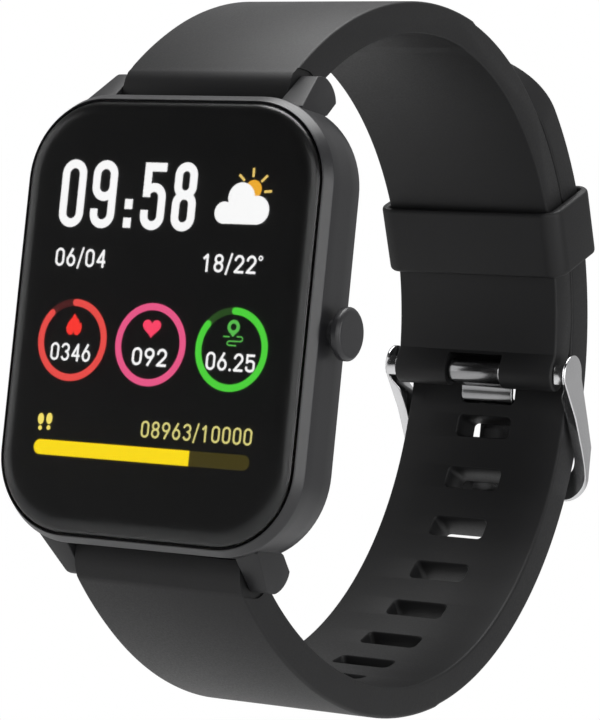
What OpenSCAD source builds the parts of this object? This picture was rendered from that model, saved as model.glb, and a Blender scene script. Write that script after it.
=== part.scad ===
// Square smartwatch worn on a closed silicone strap with a tang buckle.
// The origin is the middle of the rear sensor window. +X is the button side,
// the screen faces -Y and 12 o'clock is at +Z.

/* [Case] */
// width of the case without the button
case_w = 36.5; // [36:0.1:37]
// height of the case between the strap ends
case_h = 46.3; // [46:0.1:46.6]
// corner radius of the case seen from the front
case_r = 9.1; // [8.6:0.1:9.4]
// wall thickness of the case
case_wall = 1.75; // [1.6:0.05:1.8]
// distance from the front rim to the sensor window
case_t = 8.6; // [8.5:0.1:8.8]
// how far the steep front bevel leans in
rim_inset = 0.64; // [0.4:0.02:0.7]
// depth of the front bevel
rim_depth = 1.12; // [0.8:0.02:1.3]

/* [Glass] */
// gap between the glass and the front rim
glass_gap = 0.3; // [0.2:0.05:0.4]
// how far the glass stands proud of the rim
glass_rise = 0.65; // [0.4:0.05:0.8]
// thickness of the glass at its flat middle
glass_t = 1.2; // [1:0.1:1.3]

/* [Button] */
// radius of the button cap
cap_r = 2.7; // [2.4:0.1:2.9]
// thickness of the button cap
cap_t = 1.05; // [0.9:0.05:1.2]
// radius of the button stem
stem_r = 1.4; // [1.2:0.05:1.4]
// gap between the case and the back of the cap
cap_gap = 1.1; // [0.9:0.05:1.3]

/* [Strap] */
// width of the strap
strap_w = 21; // [20.4:0.2:21]
// width of the strap ends between the lugs
end_w = 20; // [19:0.5:20]
// length of an adjustment slot across the strap
slot_w = 7; // [7:0.1:7.6]
// height of an adjustment slot along the strap
slot_h = 2.6; // [2.6:0.05:2.9]
// angle between neighbouring slots round the loop
slot_step = 10.2; // [10:0.1:10.6]
// slots below the one the tongue stands in
slots_below = 8; // [5:1:8]
// slots beyond the one the tongue stands in
slots_above = 3; // [1:1:3]

/* [Buckle] */
// thickness of the buckle arms
arm_t = 1.3; // [1.1:0.1:1.6]
// width of the tongue
tongue_w = 6.8; // [6.2:0.1:6.8]
// thickness of the tongue
tongue_t = 0.6; // [0.5:0.05:0.65]

/* [Keeper] */
// height of the keeper along the strap
keeper_h = 7.9; // [6.5:0.1:8.5]
// wall thickness of the keeper above and below the strap
keeper_wall = 1; // [0.8:0.05:1.3]
// wall thickness of the keeper beside the strap
keeper_side = 1.3; // [1:0.1:1.5]

/* [Part] */
// sub-part to draw

/* [Hidden] */
$fn = 64;
tiny = 0.01;
front_y = -case_t;
wall_back = -2.07;
lid_flat = -0.8;
glass_w = case_w - 2 * rim_inset - 2 * glass_gap;
glass_h = case_h - 2 * rim_inset - 2 * glass_gap;
glass_r = case_r - rim_inset - glass_gap;
glass_front = front_y - glass_rise;
glass_back = glass_front + glass_t;
ledge_front = glass_back + 0.2;
ledge_back = ledge_front + 1.2;
cave_w = case_w - 2 * case_wall;
cave_h = case_h - 2 * case_wall;
cave_r = case_r - case_wall;
boss_x = 13.2;
boss_z = 18.1;
button_y = -4.75;
button_x = case_w / 2 + cap_gap;
lug_x = 10.15;
taper_x = strap_w / 2 - 0.3;
lug_w = 2.05;
bar_y = -1.95;
bar_z = 24.9;
lens_r = 9;
board_y0 = -5.4;
board_y1 = -4.6;
motor_x = 11.3;
motor_z = -8.5;
rotor_gap = 0.06;

// rear and front arcs of the strap surfaces: [y, z, radius]
up_out = [28.26, 2, 36.8];
up_out_f = [27.65, -5.77, 44.78];
up_in = [27.59, 1.88, 33.48];
up_in_f = [27.36, -3.83, 39.33];
low_out = [29.75, 1.66, 40.07];
low_out_f = [28.2, 9.03, 47.73];
low_in = [29.55, 0.32, 35.4];
low_in_f = [28.53, 7.7, 42.93];
// angle where the rear arc meets the front arc
up_out_a = 82;
up_in_a = 82.8;
low_out_a = -75.5;
low_in_a = -79.5;
// gap between the tail and the strap half beneath it
tail_gap = 0.14;
// angle at the middle of the tail's rounded end
tail_a = 48.8;
slot_c = [28.38, 1.35];
slot_first = -9;
slot_tongue = -2.5;

pin_y = 62;
pin_z = 2;
pin_r = 0.75;
knuckle_r = 1.85;
barrel_r = 1.45;
eye_y = 63;
eye_z = 2.3;
eye_r = 2.35;
arm_x = 10.8;
frame_low = -12.4;
keeper_a = 27.5;
keeper_in = 32.45;
keeper_out = 41.35;

// a rectangle with round corners
module soft_rect(w, h, r) {
    square([w - 2 * r, h], center = true);
    square([w, h - 2 * r], center = true);
    for (sx = [-1, 1], sy = [-1, 1])
        translate([sx * (w / 2 - r), sy * (h / 2 - r)])
            circle(r = r);
}

// draws an outline given in x and z between two depths
module depth(y0, y1) {
    translate([0, y1, 0])
        rotate([90, 0, 0])
            linear_extrude(height = y1 - y0)
                children();
}

// draws an outline given in y and z across the width
module across(w) {
    rotate([90, 0, 90])
        linear_extrude(height = w, center = true)
            children();
}

module slab(w, h, r, y0, y1) {
    depth(y0, y1)
        soft_rect(w, h, r);
}

// rounded slab whose outline leans in by inset from depth ya to depth yb
module taper(w, h, r, ya, yb, inset) {
    len = abs(yb - ya);
    tilt = yb < ya ? 90 : -90;
    for (sx = [-1, 1], sz = [-1, 1])
        translate([sx * (w / 2 - r), ya, sz * (h / 2 - r)])
            rotate([tilt, 0, 0])
                cylinder(h = len, r1 = r, r2 = r - inset);
    linear_extrude(height = h - 2 * r, center = true)
        polygon([[-w / 2, ya], [w / 2, ya], [w / 2 - inset, yb], [inset - w / 2, yb]]);
    across(w - 2 * r)
        polygon([[ya, -h / 2], [ya, h / 2], [yb, h / 2 - inset], [yb, inset - h / 2]]);
}

// disc or hole along Y
module disc(x, z, r, y0, y1) {
    translate([x, y1, z])
        rotate([90, 0, 0])
            cylinder(h = y1 - y0, r = r);
}

// rod or hole along X
module rod(y, z, r, x0, x1) {
    translate([x0, y, z])
        rotate([0, 90, 0])
            cylinder(h = x1 - x0, r = r);
}

module block(x0, x1, y0, y1, z0, z1) {
    translate([x0, y0, z0])
        cube([x1 - x0, y1 - y0, z1 - z0]);
}

module at_bosses() {
    for (sx = [-1, 1], sz = [-1, 1])
        translate([sx * boss_x, 0, sz * boss_z])
            children();
}

// side view of a lug at 12 o'clock
module lug_side() {
    translate([-1, 24.5])
        circle(r = 1.78);
    polygon([[-6.6, 22.1], [-6.6, 22.42], [-2.46, 26.05], [-1, 26.2], [0.78, 24.4],
        [0.25, 22.85], [-2.1, 22.85], [-2.1, 22.1]]);
}

module case_frame() {
    color([0.16, 0.16, 0.17])
    difference() {
        union() {
            taper(case_w, case_h, case_r, wall_back - 0.35, wall_back, 0.3);
            slab(case_w, case_h, case_r, front_y + rim_depth, wall_back - 0.35);
            taper(case_w, case_h, case_r, front_y + rim_depth, front_y, rim_inset);
            for (sx = [-1, 1], sz = [0, 1])
                mirror([0, 0, sz])
                    translate([sx * (lug_x + lug_w / 2), 0, 0])
                        across(lug_w)
                            lug_side();
        }
        // opening for the glass
        slab(glass_w + 0.5, glass_h + 0.5, glass_r + 0.25, front_y - 1, ledge_front);
        // opening for the display
        slab(31.8, 42.4, 6.5, ledge_front - 1, ledge_back + tiny);
        // room for the parts inside
        difference() {
            slab(cave_w, cave_h, cave_r, ledge_back, wall_back + 1);
            at_bosses()
                disc(0, 0, 1.75, ledge_back - 1, -2.6);
        }
        // groove for the rear seal
        difference() {
            slab(35.4, 45.2, case_r - 0.55, wall_back - 0.45, wall_back + 1);
            slab(34.2, 44, case_r - 1.15, wall_back - 2, wall_back + 2);
        }
        // screw holes
        at_bosses()
            disc(0, 0, 0.5, -5.6, -2);
        // button hole
        rod(button_y, 0, stem_r + 0.06, cave_w / 2 - 1, case_w / 2 + 1);
        // holes for the strap bars
        for (sx = [-1, 1], sz = [-1, 1])
            rod(bar_y, sz * bar_z, 0.45, sx > 0 ? lug_x - 1 : -lug_x - 1.2,
                sx > 0 ? lug_x + 1.2 : 1 - lug_x);
    }
}

module cover_glass() {
    color([0.05, 0.05, 0.06, 0.6])
    union() {
        slab(glass_w, glass_h, glass_r, front_y + 0.1, glass_back);
        taper(glass_w, glass_h, glass_r, front_y + 0.1, front_y - 0.25, 0.25);
        taper(glass_w - 0.5, glass_h - 0.5, glass_r - 0.25, front_y - 0.25,
            glass_front + 0.15, 0.45);
        taper(glass_w - 1.4, glass_h - 1.4, glass_r - 0.7, glass_front + 0.15,
            glass_front, 0.65);
    }
}

module glass_gasket() {
    color([0.1, 0.1, 0.1])
    difference() {
        slab(glass_w - 0.2, glass_h - 0.2, glass_r - 0.1, glass_back, ledge_front);
        slab(32, 42.6, 6.6, glass_back - 1, ledge_front + 1);
    }
}

module display_panel() {
    color([0.02, 0.02, 0.03])
    union() {
        translate([0, 0, 0.9])
            slab(30.6, 38.8, 4.5, glass_back, glass_back + 1.1);
        // backlight tray
        translate([0, 0, 0.9])
            slab(29.8, 38, 4, glass_back + 1.1, ledge_back - 0.1);
    }
}

module back_cover() {
    lip_w = cave_w - 0.2;
    lip_h = cave_h - 0.2;
    color([0.1, 0.1, 0.11])
    difference() {
        union() {
            taper(case_w - 0.7, case_h - 0.7, case_r - 0.35, wall_back, lid_flat, 1.4);
            // island round the sensor
            translate([0, lid_flat - tiny, 0])
                rotate([-90, 0, 0])
                    cylinder(h = tiny - lid_flat, r1 = 12.4, r2 = 11.6);
            difference() {
                slab(lip_w, lip_h, cave_r - 0.1, wall_back - 0.45, wall_back + tiny);
                slab(lip_w - 1.6, lip_h - 1.6, cave_r - 0.9, wall_back - 1, wall_back + 1);
            }
        }
        slab(lip_w - 1.6, lip_h - 1.6, cave_r - 0.9, wall_back - 1, wall_back + 0.17);
        disc(0, 0, lens_r + 0.05, -0.6, 1);
        disc(0, 0, 6.6, -3, 0);
        at_bosses() {
            disc(0, 0, 0.65, -3, 0);
            translate([0, -1.46, 0])
                rotate([-90, 0, 0])
                    cylinder(h = 0.62, r1 = 0.65, r2 = 1.12);
            disc(0, 0, 1.12, -0.85, 0);
        }
        for (sx = [-1, 1])
            disc(sx * 2, -15.6, 0.92, -3, 0);
    }
}

module back_gasket() {
    color([0.25, 0.25, 0.27])
    difference() {
        slab(35.3, 45.1, case_r - 0.6, wall_back - 0.4, wall_back);
        slab(34.3, 44.1, case_r - 1.1, wall_back - 1, wall_back + 1);
    }
}

module back_screws() {
    color([0.35, 0.35, 0.37])
    at_bosses()
        difference() {
            union() {
                translate([0, -1.45, 0])
                    rotate([-90, 0, 0])
                        cylinder(h = 0.6, r1 = 0.5, r2 = 1.05);
                disc(0, 0, 0.48, -5.3, -1.4);
            }
            // cross recess
            block(-0.55, 0.55, -1.15, 0, -0.12, 0.12);
            block(-0.12, 0.12, -1.15, 0, -0.55, 0.55);
        }
}

module sensor_window() {
    color([0.08, 0.02, 0.03, 0.5])
        disc(0, 0, lens_r, -0.6, 0);
}

module sensor_board() {
    color([0.05, 0.15, 0.08])
    union() {
        disc(0, 0, 7.6, -2.4, -1.9);
        // wall that keeps the light off the diode
        difference() {
            disc(0, 0, 2.9, -1.9, -0.6);
            disc(0, 0, 2.5, -1.9, 0);
        }
    }
}

module sensor_leds() {
    color([0.75, 0.9, 0.75])
    for (sx = [-1, 1])
        block(sx * 4.4 - 0.8, sx * 4.4 + 0.8, -1.9, -1.1, -0.6, 0.6);
}

module photodiode() {
    color([0.1, 0.08, 0.12])
        block(-1.4, 1.4, -1.9, -1.2, -1.4, 1.4);
}

module charge_contacts() {
    color([0.85, 0.7, 0.35])
    for (sx = [-1, 1])
        union() {
            disc(sx * 2, -15.6, 0.9, -2.3, -0.72);
            disc(sx * 2, -15.6, 1.3, -2.6, -2.3);
        }
}

module dock_magnets() {
    color([0.6, 0.6, 0.62])
    for (sx = [-1, 1])
        disc(sx * 6.8, -15.6, 1.6, -3.2, -1.9);
}

module carrier() {
    color([0.2, 0.2, 0.21])
    difference() {
        union() {
            slab(cave_w - 0.4, cave_h - 0.4, cave_r - 0.2, ledge_back + 0.1, -5.9);
            for (x = [-13, 9])
                disc(x, 4.5, 1.2, -5.95, board_y0);
        }
        at_bosses()
            disc(0, 0, 2.1, -8, -4);
        block(-4.6, 4.6, -8, -4, 19.8, 22);
        slab(12, 9, 1.5, -8, -4);
        for (x = [-13, 9])
            disc(x, 4.5, 0.42, -8, -4);
        // pocket for the motor
        disc(motor_x, motor_z, 4.05, -6.3, -4);
        block(12.4, 17, -8, -4, -3.4, 3.4);
    }
}

module main_board() {
    color([0.05, 0.2, 0.1])
    difference() {
        depth(board_y0, board_y1)
            polygon([[-15.5, 2.6], [11.2, 2.6], [11.2, 4], [15.5, 4], [15.5, 13], [8.6, 19.6],
                [-8.6, 19.6], [-15.5, 13]]);
        for (x = [-13, 9])
            disc(x, 4.5, 0.42, -8, -4);
    }
}

module shield_can() {
    color([0.7, 0.7, 0.72])
    difference() {
        block(-11, 1, board_y1, -3.3, 5.5, 14.8);
        block(-10.85, 0.85, board_y1 - 1, -3.45, 5.65, 14.65);
    }
}

module board_screws() {
    color([0.55, 0.55, 0.57])
    for (x = [-13, 9])
        difference() {
            union() {
                disc(x, 4.5, 0.9, board_y1, board_y1 + 0.4);
                disc(x, 4.5, 0.4, -6.2, board_y1);
            }
            block(x - 0.5, x + 0.5, board_y1 + 0.15, -4, 4.38, 4.62);
        }
}

module battery() {
    color([0.75, 0.76, 0.78])
    union() {
        translate([-4.5, 0, -7])
            slab(21.6, 16, 1.2, -5.8, -3.4);
        block(-8.5, -0.5, -5.2, -4, 0.9, 2.1);
    }
}

module battery_pad() {
    color([0.12, 0.12, 0.12])
        translate([-4.5, 0, -7])
            slab(16, 11, 1, -5.9, -5.8);
}

module battery_leads() {
    color([0.7, 0.1, 0.08])
    for (x = [-6, -3])
        union() {
            translate([x, -4.25, 2.1])
                cylinder(h = 1.15, r = 0.3);
            disc(x, 3.25, 0.3, board_y1, -4);
        }
}

module display_flex() {
    color([0.75, 0.45, 0.15])
    union() {
        block(-4, 4, ledge_back - 0.1, -4.33, 20.4, 20.52);
        block(-4, 4, ledge_back - 0.1, ledge_back + 0.02, 18.6, 20.52);
        block(-4, 4, -4.45, -4.33, 16.4, 20.52);
        block(-3.4, 3.4, board_y1, -4.45, 16.6, 18.4);
    }
}

module sensor_flex() {
    color([0.75, 0.45, 0.15])
    union() {
        block(3, 5.4, -2.52, -2.4, 1.4, 10.6);
        block(3, 5.4, board_y1, -2.4, 10.48, 10.6);
        block(2.6, 5.8, board_y1, -4.2, 10.6, 11.8);
    }
}

module antenna() {
    color([0.8, 0.65, 0.3])
    difference() {
        block(-16.4, -16.25, -5.8, -2.9, -11, 11);
        for (z = [-8:4:8])
            block(-17, -16, -5, -3.4, z - 1.4, z + 1.4);
    }
}

module motor_can() {
    color([0.72, 0.72, 0.74])
    difference() {
        disc(motor_x, motor_z, 4, -6.3, -3.5);
        disc(motor_x, motor_z, 3.75, -6.1, -3.7);
    }
    // spindle fixed to both ends of the can
    color([0.72, 0.72, 0.74])
        disc(motor_x, motor_z, 0.4, -6.15, -3.65);
}

module motor_rotor() {
    color([0.8, 0.6, 0.3])
    difference() {
        union() {
            disc(motor_x, motor_z, 1.2, -5.9, -3.9);
            intersection() {
                disc(motor_x, motor_z, 3.4, -5.7, -4.1);
                block(motor_x - 4, motor_x + 4, -6, -3, motor_z - 4, motor_z);
            }
        }
        disc(motor_x, motor_z, 0.4 + rotor_gap, -7, -3);
    }
}

module button_cap() {
    color([0.14, 0.14, 0.15])
    difference() {
        union() {
            rod(button_y, 0, stem_r, 16, button_x);
            rod(button_y, 0, cap_r, button_x, button_x + cap_t - 0.45);
            translate([button_x + cap_t - 0.45, button_y, 0])
                rotate([0, 90, 0])
                    cylinder(h = 0.45, r1 = cap_r, r2 = cap_r - 0.45);
        }
        // grooves for the seal and the clip
        for (x = [[17.1, 17.7], [16.12, 16.42]])
            difference() {
                rod(button_y, 0, stem_r + 1, x[0], x[1]);
                rod(button_y, 0, stem_r - 0.35, x[0] - 1, x[1] + 1);
            }
    }
}

module button_seal() {
    color([0.08, 0.08, 0.08])
        translate([17.4, button_y, 0])
            rotate([0, 90, 0])
                rotate_extrude($fn = 48)
                    translate([stem_r - 0.13, 0])
                        circle(r = 0.18, $fn = 24);
}

module button_clip() {
    color([0.6, 0.6, 0.62])
    difference() {
        rod(button_y, 0, 1.8, 16.15, 16.4);
        rod(button_y, 0, stem_r - 0.3, 16, 17);
        block(16, 17, button_y - 0.75, button_y + 0.75, -3, 0);
    }
}

module switch_body() {
    color([0.55, 0.55, 0.57])
    difference() {
        block(13.5, 15.3, button_y - 1.2, button_y + 1.2, -2.2, 2.2);
        rod(button_y, 0, 0.76, 14.2, 16);
    }
}

module switch_plunger() {
    color([0.85, 0.85, 0.8])
        rod(button_y, 0, 0.7, 14.9, 16);
}

module switch_bracket() {
    color([0.65, 0.65, 0.67])
    union() {
        block(13.2, 13.5, -6, -3.3, -3, 3.3);
        block(13.2, 13.5, board_y1, -3.3, 3.2, 6);
        block(13.2, 15.2, board_y1, board_y1 + 0.3, 4.1, 6);
    }
}

// a disc given as [y, z, radius]
module arc_disc(a) {
    translate([a[0], a[1]])
        circle(r = a[2], $fn = 240);
}

// half plane on the clockwise side of the line through a point at an angle
module clockwise_of(p, a) {
    translate([p[0], p[1]])
        rotate(a)
            translate([-150, -150])
                square([300, 150]);
}

// area inside a surface made of a rear arc and a front arc that meet at angle a
module inside_of(rear, front, a) {
    side = a > 0 ? 0 : 180;
    intersection() {
        arc_disc(rear);
        clockwise_of(rear, a + side);
    }
    intersection() {
        arc_disc(front);
        clockwise_of(rear, a + 180 + side);
    }
}

// shapes a strap end where it sits between the lugs, side is 1 at 12 o'clock
module end_cuts(side) {
    // sides that draw in towards the case
    for (sx = [-1, 1])
        translate([0, 0, side > 0 ? 20 : -60])
            linear_extrude(height = 40)
                scale([sx, 1])
                    polygon([[taper_x, -30], [taper_x, 3], [strap_w / 2 + 0.01, 24],
                        [strap_w / 2 + 2, 24], [strap_w / 2 + 2, -30]]);
    // steep front face of the end
    across(strap_w + 2)
        scale([1, side])
            polygon([[-60, 22], [-4.3, 22], [-4.42, 24.4], [-4.15, 25.4], [-3.7, 26.3],
                [-3.3, 27.1], [-60, 80]]);
    for (sx = [-1, 1])
        translate([sx * (end_w / 2 + 1), 0, 0]) {
            rod(-1.2, side * 24.7, 2.2, -1, 1);
            translate([0, -25.6, side * 24.8])
                cube([2, 48.8, 4.2], center = true);
            translate([0, -24.5, side * 23.5])
                cube([2, 51, 2.4], center = true);
        }
}

module strap_upper() {
    w = strap_w + 2;
    color([0.13, 0.13, 0.13])
    difference() {
        union() {
            difference() {
                across(strap_w)
                    inside_of(up_out, up_out_f, up_out_a);
                across(w)
                    inside_of(up_in, up_in_f, up_in_a);
                block(-w, w, -50, 29, -100, 23.35);
                block(-w, w, 20, 100, -100, 2.2);
                // outer face easing down to the thickened end
                across(w)
                    polygon([[63.8, 2], [69, 2], [69, 10], [65.1, 8], [64.75, 5.2]]);
                end_cuts(1);
            }
            // thickened end round the bar
            across(strap_w)
                polygon([[60.15, 2], [63.83, 2], [64.7, 5.1], [61.3, 5.1], [61.05, 4.4],
                    [60.3, 3]]);
            rod(pin_y, pin_z, knuckle_r, -arm_x + 0.1, arm_x - 0.1);
        }
        rod(bar_y, bar_z, 0.95, -15, 15);
        rod(pin_y, pin_z, pin_r + 0.04, -15, 15);
        // gap for the tongue's barrel
        block(-tongue_w / 2 - 0.2, tongue_w / 2 + 0.2, 59, 68, -1, 4.1);
    }
}

// side view of the strap half at 6 o'clock with its tail
module lower_side() {
    tail = [up_out[0], up_out[1], up_out[2] + tail_gap];
    difference() {
        inside_of(low_out, low_out_f, low_out_a);
        intersection() {
            inside_of(low_in, low_in_f, low_in_a);
            translate([-100, -104.99])
                square([200, 100]);
        }
        intersection() {
            arc_disc(tail);
            translate([-100, -5])
                square([200, 100]);
        }
        translate([-50, -23.35])
            square([79.5, 100]);
        translate([-50, 0])
            square([84, 100]);
    }
}

module slot_cut(a) {
    translate([0, slot_c[0], slot_c[1]])
        rotate([a, 0, 0])
            depth(30, 50)
                soft_rect(slot_w, slot_h, 0.55);
}

module strap_lower() {
    color([0.13, 0.13, 0.13])
    difference() {
        intersection() {
            across(strap_w)
                lower_side();
            translate([0, low_out[0], low_out[1]])
                rotate([tail_a, 0, 0])
                    union() {
                        block(-20, 20, -90, 60, -90, 0);
                        disc(0, 0, strap_w / 2 + 0.05, 20, 60);
                        block(-20, 20, -90, 20, -1, 90);
                    }
        }
        end_cuts(-1);
        rod(bar_y, -bar_z, 0.95, -15, 15);
        slot_cut(slot_tongue);
        for (i = [0:slots_below - 1])
            slot_cut(slot_first - i * slot_step);
        for (i = [1:slots_above])
            slot_cut(slot_tongue + i * slot_step);
    }
}

module lug_bars() {
    color([0.7, 0.7, 0.72])
    for (sz = [-1, 1])
        difference() {
            rod(bar_y, sz * bar_z, 0.9, -9.8, 9.8);
            for (sx = [-1, 1])
                rod(bar_y, sz * bar_z, 0.43, sx > 0 ? 6.5 : -10, sx > 0 ? 10 : -6.5);
        }
}

module lug_bar_tips() {
    color([0.8, 0.8, 0.82])
    for (sx = [-1, 1], sz = [-1, 1])
        rod(bar_y, sz * bar_z, 0.4, sx > 0 ? 7.4 : -11.2, sx > 0 ? 11.2 : -7.4);
}

module keeper() {
    deep = keeper_out - keeper_in;
    mid = (keeper_out + keeper_in) / 2;
    w = strap_w + 0.3;
    color([0.12, 0.12, 0.12])
        translate([0, up_out[0], up_out[1]])
            rotate([keeper_a, 0, 0])
                translate([0, mid, 0])
                    linear_extrude(height = keeper_h, center = true)
                        difference() {
                            soft_rect(w + 2 * keeper_side, deep + 2 * keeper_wall, 2.2);
                            soft_rect(w, deep, 0.3);
                        }
}

module buckle_bar() {
    color([0.78, 0.78, 0.8])
        rod(pin_y, pin_z, pin_r, 0.1 - arm_x - 1, arm_x + 0.9);
}

// side view of a buckle arm
module arm_side() {
    translate([eye_y, eye_z])
        circle(r = eye_r);
    polygon([[60.9, 1.25], [65.35, 2.3], [68.1, -2.55], [69.8, -5.7], [69.9, -8.5],
        [69.9, -12.4], [68.9, -12.4], [68.9, -9.7], [67.5, -6.6], [64.85, -2.85],
        [62.5, -0.1]]);
}

module buckle_frame() {
    wide = 2 * (arm_x + arm_t);
    color([0.82, 0.82, 0.84])
    difference() {
        intersection() {
            union() {
                for (sx = [-1, 1])
                    translate([sx * (arm_x + arm_t / 2), 0, 0])
                        across(arm_t)
                            arm_side();
                block(-arm_x - 0.1, arm_x + 0.1, 68.9, 69.9, frame_low, -9.6);
                // fillets where the arms meet the bar
                for (sx = [-1, 1])
                    difference() {
                        block(sx > 0 ? arm_x - 1 : -arm_x - 0.1, sx > 0 ? arm_x + 0.1 : 1 - arm_x,
                            68.9, 69.9, -9.7, -8.6);
                        disc(sx * (arm_x - 1), -8.6, 1, 60, 80);
                    }
            }
            depth(50, 80)
                translate([0, frame_low + 20])
                    soft_rect(wide, 40, 3);
        }
        // blind holes for the bar
        rod(pin_y, pin_z, pin_r + 0.05, -arm_x - 0.95, arm_x + 0.95);
        // relief that leaves a boss round the bar
        for (sx = [-1, 1])
            translate([sx * (arm_x + 0.3), 0, 0])
                across(0.7)
                    difference() {
                        translate([eye_y, eye_z])
                            circle(r = eye_r + 0.3);
                        translate([pin_y, pin_z])
                            circle(r = 1.15);
                    }
        // seat for the tongue
        block(-tongue_w / 2 - 0.15, tongue_w / 2 + 0.15, 69.55, 72, -20, -9.5);
    }
}

// centre line of the bent tongue in y and z
tongue_path = [[63, 1.3], [64.2, 0.8], [64.75, 0.1], [64.9, -0.6], [65.5, -0.95], [69.92, -1.17], [70.62, -1.85], [70.6, -6.1],
    [69.88, -12.02]];

module tongue() {
    color([0.84, 0.84, 0.86])
    difference() {
        union() {
            rod(pin_y, pin_z, barrel_r, -tongue_w / 2, tongue_w / 2);
            across(tongue_w)
                for (i = [0:len(tongue_path) - 2]) {
                    p = tongue_path[i];
                    q = tongue_path[i + 1];
                    run = norm(q - p);
                    translate(p)
                        circle(d = tongue_t, $fn = 32);
                    translate(p)
                        rotate(atan2(q[1] - p[1], q[0] - p[0]))
                            translate([0, -tongue_t / 2])
                                square([run, tongue_t]);
                    translate(q)
                        circle(d = tongue_t, $fn = 32);
                }
        }
        rod(pin_y, pin_z, pin_r + 0.05, -10, 10);
    }
}

case_frame();
cover_glass();
glass_gasket();
display_panel();
back_cover();
back_gasket();
back_screws();
sensor_window();
sensor_board();
sensor_leds();
photodiode();
charge_contacts();
dock_magnets();
carrier();
main_board();
shield_can();
board_screws();
battery();
battery_pad();
battery_leads();
display_flex();
sensor_flex();
antenna();
motor_can();
motor_rotor();
button_cap();
button_seal();
button_clip();
switch_body();
switch_plunger();
switch_bracket();
strap_upper();
strap_lower();
lug_bars();
lug_bar_tips();
keeper();
buckle_bar();
buckle_frame();
tongue();
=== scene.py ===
import math
import bpy
import bmesh
from mathutils import Matrix, Vector


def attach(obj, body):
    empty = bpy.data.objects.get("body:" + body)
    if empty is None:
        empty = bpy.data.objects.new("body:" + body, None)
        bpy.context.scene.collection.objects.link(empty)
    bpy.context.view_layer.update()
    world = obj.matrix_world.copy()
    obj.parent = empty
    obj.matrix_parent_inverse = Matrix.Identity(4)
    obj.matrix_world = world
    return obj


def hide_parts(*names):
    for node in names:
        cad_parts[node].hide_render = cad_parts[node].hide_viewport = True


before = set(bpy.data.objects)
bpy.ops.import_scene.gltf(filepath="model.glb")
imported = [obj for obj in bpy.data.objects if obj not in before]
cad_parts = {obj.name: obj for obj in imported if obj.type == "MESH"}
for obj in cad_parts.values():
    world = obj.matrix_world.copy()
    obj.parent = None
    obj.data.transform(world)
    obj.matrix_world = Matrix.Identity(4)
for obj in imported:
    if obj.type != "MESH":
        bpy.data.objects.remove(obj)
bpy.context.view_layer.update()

MM = 0.001
scene = bpy.context.scene

# ------------------------------------------------------------------ camera
AZ, EL, ROLL = math.radians(30.66), math.radians(-3.60), math.radians(5.66)
TARGET = Vector((17.02, -8.6, -3.12)) * MM
DIST = 317.3 * MM
back = Vector((math.sin(AZ) * math.cos(EL), -math.cos(AZ) * math.cos(EL), math.sin(EL)))
right0 = Vector((math.cos(AZ), math.sin(AZ), 0))
up0 = back.cross(right0)
right = right0 * math.cos(ROLL) + up0 * math.sin(ROLL)
up = up0 * math.cos(ROLL) - right0 * math.sin(ROLL)
cam_data = bpy.data.cameras.new("camera")
cam = bpy.data.objects.new("camera", cam_data)
scene.collection.objects.link(cam)
cam_data.sensor_width = 36
cam_data.lens = 161.81
cam_data.clip_start, cam_data.clip_end = 0.01, 20
cam.matrix_world = Matrix((
    (right.x, up.x, back.x, 0), (right.y, up.y, back.y, 0), (right.z, up.z, back.z, 0), (0, 0, 0, 1)))
cam.location = TARGET + back * DIST
scene.camera = cam
scene.view_settings.view_transform = "Standard"


# --------------------------------------------------------------- materials
def shader(name, color, rough, metal=0.0, spec=0.5):
    mat = bpy.data.materials.new(name)
    mat.use_nodes = True
    nt = mat.node_tree
    b = nt.nodes["Principled BSDF"]
    b.inputs["Base Color"].default_value = (*color, 1)
    b.inputs["Roughness"].default_value = rough
    b.inputs["Metallic"].default_value = metal
    b.inputs["Specular IOR Level"].default_value = spec
    return mat, nt, b


def noise(nt, scale, detail=4, stretch=(1, 1, 1)):
    co = nt.nodes.new("ShaderNodeTexCoord")
    mp = nt.nodes.new("ShaderNodeMapping")
    mp.inputs["Scale"].default_value = stretch
    n = nt.nodes.new("ShaderNodeTexNoise")
    n.inputs["Scale"].default_value = scale
    n.inputs["Detail"].default_value = detail
    nt.links.new(co.outputs["Object"], mp.inputs["Vector"])
    nt.links.new(mp.outputs["Vector"], n.inputs["Vector"])
    return n.outputs["Fac"]


def ramp(nt, fac, a, b, lo=0.3, hi=0.7):
    r = nt.nodes.new("ShaderNodeValToRGB")
    r.color_ramp.elements[0].position, r.color_ramp.elements[0].color = lo, (*a, 1)
    r.color_ramp.elements[1].position, r.color_ramp.elements[1].color = hi, (*b, 1)
    nt.links.new(fac, r.inputs["Fac"])
    return r.outputs["Color"]


def spread(nt, fac, lo, hi):
    m = nt.nodes.new("ShaderNodeMapRange")
    m.inputs["From Min"].default_value, m.inputs["From Max"].default_value = 0.3, 0.7
    m.inputs["To Min"].default_value, m.inputs["To Max"].default_value = lo, hi
    nt.links.new(fac, m.inputs["Value"])
    return m.outputs["Result"]


def bump(nt, bsdf, fac, depth, strength=1.0):
    b = nt.nodes.new("ShaderNodeBump")
    b.inputs["Distance"].default_value = depth
    b.inputs["Strength"].default_value = strength
    nt.links.new(fac, b.inputs["Height"])
    nt.links.new(b.outputs["Normal"], bsdf.inputs["Normal"])


def surface(name, color, rough, metal=0.0, grain=2500, depth=0.01, vary=0.12, stretch=(1, 1, 1),
            rough_vary=0.06, spec=0.5):
    mat, nt, b = shader(name, color, rough, metal, spec)
    fine = noise(nt, grain, 3, stretch)
    wide = noise(nt, 140, 5)
    nt.links.new(ramp(nt, wide, [c * (1 - vary) for c in color], [min(1, c * (1 + vary)) for c in color]),
                 b.inputs["Base Color"])
    nt.links.new(spread(nt, fine, rough - rough_vary, rough + rough_vary), b.inputs["Roughness"])
    bump(nt, b, fine, depth * MM)
    return mat


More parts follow.
